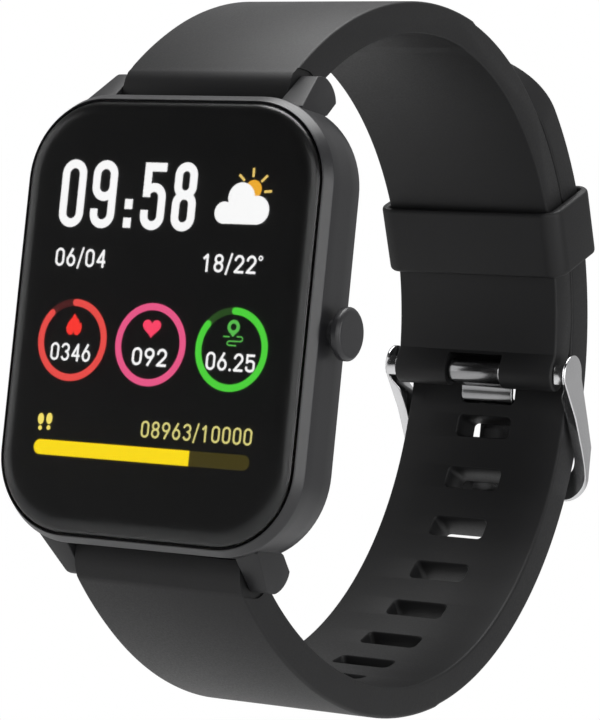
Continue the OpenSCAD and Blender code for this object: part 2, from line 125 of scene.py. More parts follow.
def glow(name, color, strength=1.0):
    mat, nt, b = shader(name, (0, 0, 0), 0.6, 0.0, 0.0)
    n = noise(nt, 9000, 2)
    nt.links.new(ramp(nt, n, [c * 0.97 for c in color], color), b.inputs["Emission Color"])
    b.inputs["Emission Strength"].default_value = strength
    return mat


FINISH = {
    "silicone": surface("silicone", (0.008, 0.008, 0.0085), 0.5, grain=5200, depth=0.006, vary=0.08,
                        spec=0.28),
    "case": surface("satin_case", (0.013, 0.013, 0.0145), 0.36, grain=6500, depth=0.003, vary=0.08,
                    rough_vary=0.03),
    # the lugs are the same plastic as the case; this darker, rougher, lower-specular copy paints shade on
    # them and dims their highlight
    "lug": surface("satin_lug_painted_shade", (0.011, 0.011, 0.012), 0.5, grain=6500, depth=0.003, vary=0.08,
                   rough_vary=0.03, spec=0.33),
    "cover": surface("cover_plastic", (0.022, 0.022, 0.024), 0.48, grain=4200, depth=0.006),
    "seal": surface("seal_rubber", (0.012, 0.012, 0.012), 0.7, grain=4000, depth=0.01),
    "steel": surface("steel", (0.62, 0.62, 0.64), 0.28, 1.0, grain=2600, depth=0.002, stretch=(1, 6, 6)),
    "polished": surface("polished_steel", (0.72, 0.72, 0.73), 0.16, 1.0, grain=1800, depth=0.0015,
                        stretch=(1, 1, 5), rough_vary=0.04, vary=0.04),
    "brushed": surface("brushed_steel", (0.33, 0.33, 0.335), 0.2, 1.0, grain=1800, depth=0.0003,
                       stretch=(6, 1, 1), rough_vary=0.02, vary=0.04),
    "board": surface("solder_mask", (0.01, 0.07, 0.03), 0.35, grain=900, depth=0.02, vary=0.3),
    "gold": surface("gold_plate", (0.83, 0.62, 0.26), 0.25, 1.0, grain=3000, depth=0.002),
    "magnet": surface("nickel", (0.55, 0.55, 0.57), 0.3, 1.0, grain=3000, depth=0.002),
    "foil": surface("foil", (0.6, 0.61, 0.63), 0.38, 0.8, grain=700, depth=0.03),
    "flex": surface("polyimide", (0.5, 0.24, 0.05), 0.4, grain=1500, depth=0.01),
    "white": surface("white_plastic", (0.75, 0.75, 0.71), 0.45, grain=3000, depth=0.004),
    "tungsten": surface("sintered", (0.35, 0.3, 0.24), 0.5, 0.7, grain=5000, depth=0.02),
    "emitter": surface("clear_package", (0.5, 0.65, 0.5), 0.3, grain=3000, depth=0.004),
    "panel": surface("panel_black", (0.001, 0.001, 0.0011), 0.5, grain=3000, depth=0.00005, vary=0.2,
                     spec=0.1),
    "mask": surface("mask_black", (0.0008, 0.0008, 0.0009), 0.5, grain=3000, depth=0.00005, vary=0.2,
                    spec=0.1),
}


def glass_material():
    mat, nt, b = shader("cover_glass", (0.92, 0.93, 0.95), 0.275)
    b.inputs["Transmission Weight"].default_value = 1.0
    b.inputs["IOR"].default_value = 1.5
    n = noise(nt, 60, 2)
    nt.links.new(ramp(nt, n, (0.985, 0.987, 0.99), (0.996, 0.997, 1.0)), b.inputs["Base Color"])
    return mat


def lens_material():
    mat, nt, b = shader("sensor_lens", (0.012, 0.004, 0.006), 0.06)
    b.inputs["Coat Weight"].default_value = 1.0
    b.inputs["Coat Roughness"].default_value = 0.03
    n = noise(nt, 300, 3)
    nt.links.new(ramp(nt, n, (0.010, 0.003, 0.005), (0.016, 0.006, 0.008)), b.inputs["Base Color"])
    return mat


FINISH["glass"] = glass_material()
FINISH["lens"] = lens_material()


# ------------------------------------------------------------ mesh helpers
def outward(bm):
    """Turns the faces of one closed shell outwards."""
    bmesh.ops.recalc_face_normals(bm, faces=bm.faces)
    if bm.calc_volume(signed=True) < 0:
        bmesh.ops.reverse_faces(bm, faces=bm.faces)


def make(name, verts, faces, mat, body, slot, replaces=(), angle=32):
    me = bpy.data.meshes.new(name)
    me.from_pydata([Vector(v) * MM for v in verts], [], faces)
    me.validate()
    bm = bmesh.new()
    bm.from_mesh(me)
    bmesh.ops.remove_doubles(bm, verts=bm.verts, dist=1e-7)
    outward(bm)
    bm.to_mesh(me)
    bm.free()
    return place(name, me, mat, body, slot, replaces, angle)


def place(name, me, mat, body, slot, replaces=(), angle=32):
    me.shade_smooth()
    me.set_sharp_from_angle(angle=math.radians(angle))
    ob = bpy.data.objects.new(name, me)
    scene.collection.objects.link(ob)
    me.materials.clear()
    me.materials.append(FINISH[mat])
    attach(ob, body)
    if replaces:
        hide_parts(*replaces)
    return ob


def rounded(hw, hh, r, n=14):
    """Rectangle of half sizes hw and hh with corners of radius r, about the origin."""
    pts = []
    corners = ((hw - r, hh - r, 0), (r - hw, hh - r, 90), (r - hw, r - hh, 180), (hw - r, r - hh, 270))
    for cx, cz, a0 in corners:
        for i in range(n + 1):
            a = math.radians(a0 + 90 * i / n)
            pts.append((cx + r * math.cos(a), cz + r * math.sin(a)))
    return pts


def stack(loops, closed=False):
    """Faces between successive closed loops of equal length, with end caps unless closed."""
    verts = [p for loop in loops for p in loop]
    n = len(loops[0])
    faces = []
    pairs = list(zip(range(len(loops)), range(1, len(loops))))
    if closed:
        pairs.append((len(loops) - 1, 0))
    for a, b in pairs:
        for i in range(n):
            j = (i + 1) % n
            faces.append((a * n + i, a * n + j, b * n + j, b * n + i))
    if not closed:
        faces.append(tuple(range(n - 1, -1, -1)))
        faces.append(tuple(range((len(loops) - 1) * n, len(loops) * n)))
    return verts, faces


def frame_loops(hw, hh, r, profile, n=14):
    """Rounded outlines in x and z, one for each (inset, y) of the profile."""
    return [[(x, y, z) for x, z in rounded(hw - d, hh - d, max(r - d, 0.2), n)] for d, y in profile]


def arc(cx, cy, r, a0, a1, n):
    """Points on a circle from a0 to a1 degrees in n steps."""
    return [(cx + r * math.cos(math.radians(a0 + (a1 - a0) * i / n)),
             cy + r * math.sin(math.radians(a0 + (a1 - a0) * i / n))) for i in range(n + 1)]


def prism(outline, x0, x1, edge, segments=3):
    """Extrudes a (y, z) outline from x0 to x1 with rounded rims."""
    bm = bmesh.new()
    low = [bm.verts.new((x0, y, z)) for y, z in outline]
    high = [bm.verts.new((x1, y, z)) for y, z in outline]
    n = len(outline)
    bm.faces.new(low)
    bm.faces.new(high[::-1])
    for i in range(n):
        j = (i + 1) % n
        bm.faces.new((low[j], low[i], high[i], high[j]))
    bm.normal_update()
    bmesh.ops.recalc_face_normals(bm, faces=bm.faces)
    rims = [e for e in bm.edges if abs(e.verts[0].co.x - e.verts[1].co.x) < 1e-6]
    bmesh.ops.bevel(bm, geom=rims, offset=edge, offset_type="OFFSET", segments=segments, profile=0.5,
                    affect="EDGES", clamp_overlap=True)
    outward(bm)
    return bm


def add_to(bm, other):
    me = bpy.data.meshes.new("part")
    other.to_mesh(me)
    other.free()
    bm.from_mesh(me)
    bpy.data.meshes.remove(me)


def from_bm(name, bm, mat, body, slot, replaces=(), angle=32):
    bm.transform(Matrix.Scale(MM, 4))
    me = bpy.data.meshes.new(name)
    bm.to_mesh(me)
    bm.free()
    return place(name, me, mat, body, slot, replaces, angle)


def cut(ob, cutters):
    """Subtracts closed (verts, faces) shapes, in mm, from a piece in one step.

    The shapes stay clear of each other."""
    bm = bmesh.new()
    for verts, faces in cutters:
        me = bpy.data.meshes.new("cutter")
        me.from_pydata([Vector(v) * MM for v in verts], [], faces)
        shell = bmesh.new()
        shell.from_mesh(me)
        outward(shell)
        shell.to_mesh(me)
        shell.free()
        bm.from_mesh(me)
        bpy.data.meshes.remove(me)
    me = bpy.data.meshes.new("cutter")
    bm.to_mesh(me)
    bm.free()
    tool = bpy.data.objects.new("cutter", me)
    scene.collection.objects.link(tool)
    mod = ob.modifiers.new("cut", "BOOLEAN")
    mod.operation, mod.solver, mod.object = "DIFFERENCE", "EXACT", tool
    dg = bpy.context.evaluated_depsgraph_get()
    dg.update()
    new = bpy.data.meshes.new_from_object(ob.evaluated_get(dg))
    ob.modifiers.clear()
    old = ob.data
    ob.data = new
    bpy.data.meshes.remove(old)
    bpy.data.objects.remove(tool)
    bpy.data.meshes.remove(me)
    ob.data.shade_smooth()
    ob.data.set_sharp_from_angle(angle=math.radians(32))
    return ob


def lathe_x(y, z, profile, n=72):
    """Turned solid round an axis along x; profile is a list of (x, radius), ends on the axis."""
    loops = []
    for x, r in profile:
        loops.append([(x, y + r * math.cos(2 * math.pi * i / n), z + r * math.sin(2 * math.pi * i / n))
                      for i in range(n)])
    return stack(loops)


# -------------------------------------------------------------------- case
CASE_W, CASE_H, CASE_R = 18.25, 23.15, 9.1
case_profile = [
    (1.75, -2.07), (1.1, -2.07), (0.42, -2.07), (0.2, -2.11), (0.06, -2.23), (0, -2.42),
    (0, -4.0), (0, -6.0), (0, -7.32), (0.012, -7.40), (0.045, -7.49), (0.1, -7.6),
    (0.52, -8.40), (0.56, -8.48), (0.61, -8.55), (0.66, -8.59), (0.69, -8.59), (0.71, -8.56), (0.72, -8.5),
    (0.72, -7.9), (0.9, -7.86), (1.95, -7.86), (1.95, -6.66), (1.75, -6.62),
]
make("case_shell", *stack(frame_loops(CASE_W, CASE_H, CASE_R, case_profile, 20), closed=True),
     "case", "watch", "case_plastic", ("case_frame",))

LUG_IN, LUG_OUT, LUG_TOP, LUG_FLARE = 10.15, 12.2, 26.1, 0.28
lug = [(-6.6, 22.05), (-6.62, 22.42), (-2.6, 25.98), (-2.3, 26.14), (-1.8, 26.25)]
lug += arc(-1.0, 24.5, 1.78, 92, -22, 12)
lug += [(-1.6, 22.25), (-2.2, 22.05)]
bm = bmesh.new()
for sx in (-1, 1):
    for sz in (-1, 1):
        side = [(y, z * sz) for y, z in lug]
        x = sorted((sx * LUG_IN, sx * LUG_OUT))
        one = prism(side, x[0], x[1], 0.12)
        for v in one.verts:
            if abs(v.co.x) > 11.5:
                v.co.x += sx * LUG_FLARE * max(0, LUG_TOP - abs(v.co.z))
        add_to(bm, one)
# the lugs take the darker lug copy of the case plastic: painted shade that dims their highlight
from_bm("lugs", bm, "lug", "watch", "case_plastic")

# ------------------------------------------------------------------- glass
GLASS_W, GLASS_H, GLASS_R = 17.31, 22.21, 8.16
glass_profile = [
    (0.35, -8.2), (0.08, -8.2), (0.0, -8.26), (0.0, -8.42), (0.015, -8.55), (0.07, -8.68), (0.17, -8.81),
    (0.32, -8.93), (0.52, -9.035), (0.76, -9.12), (1.02, -9.185), (1.3, -9.23), (1.6, -9.25), (2.2, -9.25),
]
make("cover_glass_body", *stack(frame_loops(GLASS_W, GLASS_H, GLASS_R, glass_profile, 20)),
     "glass", "watch", "glass", ("cover_glass",), 60)
# black print and display module behind the glass
make("mask_print", *stack(frame_loops(17.29, 22.19, 8.14, [(0, -7.9), (0, -8.24), (0.06, -8.28)], 20)),
     "mask", "watch", "display", ("display_panel",))
screen = [[(x, y, z + 1.4) for x, z in rounded(14.75, 18.0, 4.0, 10)] for y in (-8.27, -8.295)]
make("display_face", *stack(screen), "panel", "watch", "display")

# -------------------------------------------------------------- screen art
UI_Y = -8.31
BAR_END = 5.36
COLORS = {"ui_white": (1, 1, 1), "ui_red": (0.83, 0.075, 0.065), "ui_pink": (0.83, 0.1, 0.25),
          "ui_green": (0.075, 0.65, 0.045), "ui_yellow": (1.0, 0.74, 0.008), "ui_pale": (0.72, 0.66, 0.22),
          "ui_olive": (0.05, 0.04, 0.006), "ui_dark_red": (0.07, 0.012, 0.012),
          "ui_dark_green": (0.02, 0.065, 0.012),
          "ui_flame": (1.0, 0.04, 0.03), "ui_heart": (1.0, 0.06, 0.14), "ui_pin": (0.1, 0.5, 0.08),
          "ui_sun": (0.87, 0.42, 0.03), "ui_ray": (0.85, 0.6, 0.16), "ui_step": (0.95, 0.78, 0.15)}
for key, col in COLORS.items():
    FINISH[key] = glow(key, col)


class Art:
    """Collects flat raised shapes in the screen plane as one piece per colour."""

    def __init__(self):
        self.sets = {}

    def add(self, color, outline, depth=0.0):
        verts, faces = self.sets.setdefault(color, ([], []))
        base = len(verts)
        n = len(outline)
        for y in (UI_Y - depth, UI_Y - depth - 0.006):
            verts.extend((x, y, z) for x, z in outline)
        faces.append(tuple(range(base, base + n)))
        faces.append(tuple(range(base + 2 * n - 1, base + n - 1, -1)))
        for i in range(n):
            j = (i + 1) % n
            faces.append((base + i, base + n + i, base + n + j, base + j))

    def band(self, color, cx, cz, r0, r1, a0=0, a1=360, n=64, depth=0.0):
        step = (a1 - a0) / n
        for i in range(n):
            p = [math.radians(a0 + step * i), math.radians(a0 + step * (i + 1))]
            self.add(color, [(cx + r * math.cos(a), cz + r * math.sin(a))
                             for r, a in ((r0, p[0]), (r1, p[0]), (r1, p[1]), (r0, p[1]))], depth)

    def disc(self, color, cx, cz, r, n=32, depth=0.0, sx=1.0):
        self.add(color, [(cx + sx * r * math.cos(2 * math.pi * i / n), cz + r * math.sin(2 * math.pi * i / n))
                         for i in range(n)], depth)

    def finish(self):
        for color, (verts, faces) in self.sets.items():
            make("screen_" + color, verts, faces, color, "watch", "display")


art = Art()


def beyond(end, before, reach):
    """The point past the end of a line that comes from before."""
    length = math.hypot(end[0] - before[0], end[1] - before[1])
    return tuple(e + (e - b) * reach / length for e, b in zip(end, before))


def stroke(color, pts, width, closed=False, depth=0.0):
    """Pen line through points, with round bends and square ends."""
    bends = pts if closed else pts[1:-1]
    if not closed:
        pts = [beyond(pts[0], pts[1], width / 2), *pts[1:-1], beyond(pts[-1], pts[-2], width / 2)]
    for i in range(len(pts) - (0 if closed else 1)):
        (x0, z0), (x1, z1) = pts[i], pts[(i + 1) % len(pts)]
        length = math.hypot(x1 - x0, z1 - z0)
        if length < 1e-6:
            continue
        nx, nz = -(z1 - z0) / length * width / 2, (x1 - x0) / length * width / 2
        corners = [(x0 + nx, z0 + nz), (x0 - nx, z0 - nz), (x1 - nx, z1 - nz), (x1 + nx, z1 + nz)]
        art.add(color, corners, depth)
    for x, z in bends:
        art.disc(color, x, z, width / 2, 16, depth)


def oval(w, h, r, n):
    """Rounded outline that fills a w by h cell, from its lower left corner."""
    return [(x + w / 2, z + h / 2) for x, z in rounded(w / 2, h / 2, r, n)]


# numerals drawn with a thinner pen have a straight tail on the 9
SMALL_PEN = 0.5


def mark_width(ch, w, t):
    """Width that a mark takes up where a numeral is w wide and the pen t."""
    return {"/": w * 0.62, ".": t}.get(ch, w)


def digit(ch, x, z, w, h, t, color):
    """Draws one numeral or mark in the w by h cell whose lower left corner is x, z.

    The pen is t wide. The function returns the width that the mark takes up."""
    W, H = w - t, h - t
    r = W * 0.5
    flat = min(r, 0.18 * H)

    def put(pts, closed=False):
        stroke(color, [(x + t / 2 + px, z + t / 2 + pz) for px, pz in pts], t, closed)

    def turn(pz, rise, angles):
        """Part of an oval as wide as the numeral, about the height pz."""
        return [(r + r * math.cos(math.radians(a)), pz + rise * math.sin(math.radians(a))) for a in angles]

    def bend(pz, a0, a1):
        """Turn of the numeral's end radius, in 12 steps."""
        return turn(pz, flat, [a0 + (a1 - a0) * i / 12 for i in range(13)])

    def bowl(z0, z1, share=1.0):
        """Closed oval between two heights."""
        half = share * r
        edge = oval(2 * half, z1 - z0, min(half, (z1 - z0) / 2), 8)
        put([(px + r - half, pz + z0) for px, pz in edge], True)

    if ch == "0":
        bowl(0, H)
    elif ch == "1":
        put([(W * 0.15, H * 0.8), (W * 0.55, H), (W * 0.55, 0)])
    elif ch == "2":
        put(turn(H - r, r, range(170, -41, -15)) + [(0, 0), (W, 0)])
    elif ch == "3":
        upper_turn = turn(H * 0.76, H * 0.24, range(160, -91, -15))
        lower_turn = turn(H * 0.27, H * 0.27, range(90, -161, -15))
        put(upper_turn + lower_turn[1:])
    elif ch == "4":
        put([(W * 0.8, 0), (W * 0.8, H), (0, H * 0.28), (W, H * 0.28)])
    elif ch == "5":
        put([(W * 0.05, H * 0.98), (W * 0.92, H * 0.98)])
        put([(W * 0.05, H * 0.98), (W * 0.05, H * 0.55)])
        put(bend(H * 0.64 - flat, 140, 0) + bend(flat, 0, -180) + [(0, flat * 1.15)])
    elif ch == "6":
        put(turn(H * 0.31, H * 0.31, range(0, 360, 15)), True)
        put([(W * 0.03, H * 0.4), (W * 0.64, H)])
    elif ch == "8":
        bowl(H * 0.53, H, 0.92)
        bowl(0, H * 0.53)
    elif ch == "9":
        bowl(H * 0.46, H)
        if t < SMALL_PEN:
            put([(W * 0.97, H * 0.6), (W * 0.36, 0)])
        else:
            put([(W, H * 0.7)] + bend(flat, 0, -180) + [(0, flat * 1.05)])
    elif ch == "/":
        stroke(color, [(x + t * 0.3, z - h * 0.05), (x + w * 0.55, z + h * 1.02)], t * 0.85)
    elif ch == ".":
        art.disc(color, x + t * 0.5, z + t * 0.55, t * 0.6, 12)
    return mark_width(ch, w, t)


def text_width(s, w, t, gap):
    return sum(mark_width(ch, w, t) + gap for ch in s) - gap


def write(s, x0, x1, z0, z1, t, color, gap_share):
    """Fits a row of numerals into a box; the gaps are gap_share of a numeral's width."""
    h = z1 - z0
    lo, hi = 0.05, 10.0
    for _ in range(40):
        w = (lo + hi) / 2
        if text_width(s, w, t, w * gap_share) > x1 - x0:
            hi = w
        else:
            lo = w
    x = x0
    for ch in s:
        x += digit(ch, x, z0, w, h, t, color) + w * gap_share


TIME_Z, TIME_H, TIME_PEN = 9.1, 7.02, 0.9
for ch, x, width in (("0", -13.4, 3.0), ("9", -9.56, 3.0), ("5", -3.4, 2.88), ("8", 0.32, 2.83)):
    digit(ch, x, TIME_Z, width, TIME_H, TIME_PEN, "ui_white")
for z in (9.25, 11.17):
    art.add("ui_white", [(-5.38, z), (-4.44, z), (-4.44, z + 1.03), (-5.38, z + 1.03)])
write("06/04", -13.24, -7.05, 5.05, 6.92, 0.25, "ui_white", 0.26)
write("18/22", 4.6, 10.95, 5.12, 6.96, 0.25, "ui_white", 0.26)
art.band("ui_white", 11.42, 6.72, 0.12, 0.26, n=24)
write("08963/10000", -0.64, 12.46, -11.9, -10.2, 0.21, "ui_pale", 0.3)

# progress rings with round ends: centre x, bright and dim colour, degrees of the bright part, then the
# number below the icon with its left and right edge and its pen
RING_Z, R_IN, R_OUT = -2.51, 3.5, 4.22
for cx, col, dim, part, number, x0, x1, t in (
        (-10.12, "ui_red", "ui_dark_red", 314, "0346", -12.64, -7.72, 0.23),
        (-0.57, "ui_pink", None, 360, "092", -2.62, 1.55, 0.26),
        (9.06, "ui_green", "ui_dark_green", 309, "06.25", 6.22, 11.95, 0.24)):
    if dim:
        art.band(dim, cx, RING_Z, R_IN, R_OUT, 90 - 360, 90 - part, n=16)
        for a in (90, 90 - part):
            mid = (R_IN + R_OUT) / 2
            art.disc(col, cx + mid * math.cos(math.radians(a)), RING_Z + mid * math.sin(math.radians(a)),
                     (R_OUT - R_IN) / 2, 24, 0.007)
    art.band(col, cx, RING_Z, R_IN, R_OUT, 90 - part, 90, n=80, depth=0.007)
    write(number, x0, x1, RING_Z - 2.16, RING_Z - 0.34, t, "ui_white", 0.26)
# flame, heart and route pin
fx, fz = -10.06, -0.95
flame = (
    (-0.5, -1.05), (-0.12, -0.98), (-0.02, -0.62), (0.12, -0.98), (0.5, -1.05), (0.8, -0.75),
    (0.95, -0.25), (0.86, 0.3), (0.68, 0.1), (0.5, 0.55), (0.2, 0.8), (-0.05, 1.2), (-0.3, 0.75),
    (-0.72, 0.25), (-0.95, -0.3), (-0.82, -0.78),
)
art.add("ui_flame", [(fx + x, fz + z) for x, z in flame])
heart = []
for i in range(40):
    a = 2 * math.pi * i / 40
    rise = 13 * math.cos(a) - 5 * math.cos(2 * a) - 2 * math.cos(3 * a) - math.cos(4 * a)
    heart.append((-0.59 + 0.068 * 16 * math.sin(a) ** 3, -0.78 + 0.066 * rise))
art.add("ui_heart", heart)
px, pz = 9.07, -0.25
art.band("ui_pin", px, pz, 0.34, 0.72, n=28)
art.add("ui_pin", [(px - 0.68, pz - 0.25), (px, pz - 1.02), (px + 0.68, pz - 0.25),
                   (px + 0.32, pz - 0.34), (px - 0.32, pz - 0.34)])
stroke("ui_pin", [(8.03, -1.24), (8.66, -1.24)], 0.13)
stroke("ui_pin", [(9.58, -1.2), (10.05, -1.2), (10.22, -1.32), (10.22, -1.55), (10.05, -1.67),
                  (8.68, -1.68), (8.5, -1.8), (8.5, -1.98), (8.68, -2.1), (9.5, -2.1)], 0.13)
# cloud with the sun and its rays behind it
art.disc("ui_sun", 9.78, 13.58, 0.95, 36)
for ray in (((9.6, 15.6), (9.62, 14.95)), ((8.08, 14.93), (8.56, 14.51)), ((11.18, 14.92), (10.7, 14.45)),
            ((11.8, 13.43), (11.18, 13.38))):
    stroke("ui_ray", ray, 0.26)
for x, z, r in ((6.6, 11.15, 1.12), (8.48, 12.7, 1.55), (10.38, 11.5, 1.45)):
    art.disc("ui_white", x, z, r, 40, 0.008)
art.add("ui_white", [(6.6, 10.04), (10.38, 10.05), (10.38, 12.2), (6.6, 12.1)], 0.008)
# footsteps
for x, z in ((-12.98, -10.78), (-11.94, -10.7)):
    art.disc("ui_step", x, z, 0.58, 24, sx=0.64)
    art.disc("ui_step", x, z - 0.93, 0.24, 16)
# progress bar
bar = [(x - 0.52, z - 13.64) for x, z in rounded(12.98, 0.77, 0.76, 8)]
art.add("ui_olive", bar)
art.add("ui_yellow", [p for p in bar if p[0] < 0] + [(BAR_END, -14.41), (BAR_END, -12.87)], 0.008)
art.finish()

# ------------------------------------------------------------------ button
BUTTON_Y, BUTTON_X = -4.75, 19.35
stem = [(16.0, 0.02), (16.0, 1.3), (16.1, 1.4),
        (BUTTON_X - 0.15, 1.4), (BUTTON_X - 0.02, 1.5), (BUTTON_X, 1.62)]
head = [(0, 2.45), (0.05, 2.6), (0.16, 2.69), (0.3, 2.7), (0.62, 2.7), (0.72, 2.675), (0.82, 2.6),
        (0.96, 2.45), (1.02, 2.36), (1.045, 2.25), (1.05, 2.1), (1.05, 0.02)]
cap = stem + [(BUTTON_X + x, r) for x, r in head]
make("button_cap_body", *lathe_x(BUTTON_Y, 0, cap), "case", "button", "case_plastic", ("button_cap",))

# ------------------------------------------------------------------ straps
STRAP_C = (28.26, 2.0)


def on_arc(c, a):
    """Distance from STRAP_C, along the direction a (degrees), to the circle c = (y, z, radius)."""
    d = (math.cos(math.radians(a)), math.sin(math.radians(a)))
    oy, oz = STRAP_C[0] - c[0], STRAP_C[1] - c[1]
    b = oy * d[0] + oz * d[1]
    return -b + math.sqrt(b * b - (oy * oy + oz * oz - c[2] ** 2))


def surface_radius(rear, front, joint, a):
    """Radius from STRAP_C of a surface made of two arcs that meet where the rear one is at joint degrees."""
    jy = rear[0] + rear[2] * math.cos(math.radians(joint))
    jz = rear[1] + rear[2] * math.sin(math.radians(joint))
    ja = math.degrees(math.atan2(jz - STRAP_C[1], jy - STRAP_C[0]))
    return on_arc(rear if abs(a) <= abs(ja) else front, a)


UP_OUT = ((28.26, 2.0, 36.80), (27.65, -5.77, 44.78), 82)
UP_IN = ((27.59, 1.88, 33.48), (27.36, -3.83, 39.33), 82.8)
LOW_OUT = ((29.75, 1.66, 40.07), (28.20, 9.03, 47.73), -75.5)
LOW_IN = ((29.55, 0.32, 35.40), (28.53, 7.70, 42.93), -79.5)
TAIL_IN = ((28.26, 2.0, 36.94), (28.26, 2.0, 36.94), 180)


def at(a, r):
    return (STRAP_C[0] + r * math.cos(math.radians(a)), STRAP_C[1] + r * math.sin(math.radians(a)))


def drawn_in(y):
    """Share of the full width at depth y, narrower towards the case."""
    return 1 - 0.0286 * min(max((24 - y) / 21, 0), 1)


def angle_where_z(curve, z, lo, hi):
    """Angle between lo and hi at which a surface reaches height z."""

    def above(a):
        return at(a, surface_radius(*curve, a))[1] > z

    for _ in range(50):
        mid = (lo + hi) / 2
        if above(lo) == above(mid):
            lo = mid
        else:
            hi = mid
    return (lo + hi) / 2


def along(curve, a0, a1, steps=110):
    """Points on a strap surface from a0 to a1 degrees."""
    angles = [a0 + (a1 - a0) * i / steps for i in range(steps + 1)]
    return [at(a, surface_radius(*curve, a)) for a in angles]


# half at 12 o'clock: one outline in y and z with a thickened end round the buckle bar
END = 23.22
PIN = (62.0, 2.0)
STRAP_HALF = 10.5
a_out = angle_where_z(UP_OUT, 26.45, 90, 160)
a_in = angle_where_z(UP_IN, END, 90, 160)
top = along(UP_OUT, a_out, 9)
inner = along(UP_IN, a_in, 5.2)
knuckle = arc(PIN[0], PIN[1], 1.85, 8, -188, 16)
front_end = [(-4.3, END), (-4.42, 24.4), (-4.15, 25.4), (-3.75, 26.2)]
outline = front_end + top + [(64.75, 5.2)] + knuckle + [(60.35, 3.1), (61.0, 4.4)] + inner[::-1]
bm = prism(outline, -STRAP_HALF, STRAP_HALF, 0.3)
for v in bm.verts:
    v.co.x *= drawn_in(v.co.y)
upper = from_bm("strap_buckle_half", bm, "silicone", "watch", "silicone", ("strap_upper",), 40)
notch = [[(x, y, z + 1.85) for x, z in rounded(3.62, 2.2, 0.35, 5)] for y in (58.5, 68.5)]


def reliefs(sz):
    """Cutters that narrow a strap end between the lugs."""
    shape = arc(-1.2, 24.7, 2.2, -90, 90, 16) + [(-40, 26.85), (-40, 22.5)]
    return [stack([[(x, y, z * sz) for y, z in shape] for x in xs]) for xs in ((10, 12), (-12, -10))]


cut(upper, [stack(notch)] + reliefs(1))


# half at 6 o'clock with the tail: loops from the inner to the outer surface round the plan
def long_half():
    """Faces of the long half, whose layers go from the inner to the outer surface."""
    a0_out = angle_where_z(LOW_OUT, -END, -160, -90)
    a0_in = angle_where_z(LOW_IN, -END, -160, -90)
    tip_c, tip_r, r_mid = 48.8, STRAP_HALF, 39.0
    body, inner_layers = 190, 5
    layers = [(0.0, 0.32), (0.08, 0.14), (0.16, 0.05), (0.3, 0.0), (0.45, 0.0), (-0.42, 0.0), (-0.26, 0.03),
              (-0.13, 0.11), (-0.04, 0.22), (0.0, 0.36)]
    stations = [("line", i / body) for i in range(body + 1)] + [("tip", 90 * i / 26) for i in range(1, 27)]
    loops = []
    for k, (depth, inset) in enumerate(layers):
        left, right_side = [], []
        for kind, v in stations:
            if kind == "line":
                mix = k / (len(layers) - 1)
                a0 = a0_in + (a0_out - a0_in) * mix
                a = a0 + (tip_c - a0) * v
                w = STRAP_HALF - inset
            else:
                a = tip_c + math.degrees((tip_r - inset) * math.sin(math.radians(v)) / r_mid)
                w = (tip_r - inset) * math.cos(math.radians(v))
            inner_r = surface_radius(*(LOW_IN if a < -11 else TAIL_IN), a)
            outer_r = surface_radius(*LOW_OUT, a)
            r = inner_r + depth if k < inner_layers else outer_r + depth
            y, z = at(a, r)
            w *= drawn_in(y if z < 0 else 60)
            left.append((-w, y, z))
            right_side.append((w, y, z))
        loops.append((left, right_side))
    verts, faces = [], []
    rows = []
    for left, right_side in loops:
        row = []
        for p in left + right_side[::-1][1:]:
            row.append(len(verts))
            verts.append(p)
        rows.append(row)
    n = len(rows[0])
    for a, b in zip(rows, rows[1:]):
        for i in range(n - 1):
            faces.append((a[i], a[i + 1], b[i + 1], b[i]))
    m = len(stations)
    for row in (rows[0], rows[-1]):
        for i in range(m - 1):
            p, q = row[i], row[i + 1]
            s, t = row[n - 1 - i], row[n - 2 - i]
            faces.append((p, q, t, s) if q != t else (p, q, s))
    faces.append(tuple([r[0] for r in rows] + [r[-1] for r in rows[::-1]]))
    return verts, faces


SLOT_C = (28.38, 1.35)
SLOT_HALF_W, SLOT_HALF_L, SLOT_R, SLOT_PITCH = 3.5, 1.3, 0.6, 10.2
SLOT_ANGLES = [-2.5 + SLOT_PITCH * i for i in (3, 2, 1, 0)] + [-9 - SLOT_PITCH * i for i in range(8)]


def slot_tool(a, r_in, r_out):
    """Rounded slot with lips that flare at both surfaces, along the direction a from SLOT_C."""
    ca, sa = math.cos(math.radians(a)), math.sin(math.radians(a))
    loops = []
    flare = ((r_in - 2, 0.12), (r_in, 0.12), (r_in + 0.06, 0.05), (r_in + 0.16, 0.0),
             (r_out - 0.16, 0.0), (r_out - 0.06, 0.05), (r_out, 0.12), (r_out + 2, 0.12))
    for rad, grow in flare:
        loop = []
        for x, s in rounded(SLOT_HALF_W + grow, SLOT_HALF_L + grow, SLOT_R + grow, 6):
            loop.append((x, SLOT_C[0] + rad * ca - s * sa, SLOT_C[1] + rad * sa + s * ca))
        loops.append(loop)
    return stack(loops)


def ray_radius(curve, a):
    """Distance from SLOT_C to a strap surface along a slot's direction."""
    lo, hi = 30.0, 48.0
    d = (math.cos(math.radians(a)), math.sin(math.radians(a)))
    for _ in range(40):
        mid = (lo + hi) / 2
        y, z = SLOT_C[0] + mid * d[0] - STRAP_C[0], SLOT_C[1] + mid * d[1] - STRAP_C[1]
        if math.hypot(y, z) > surface_radius(*curve, math.degrees(math.atan2(z, y))):
            hi = mid
        else:
            lo = mid
    return (lo + hi) / 2


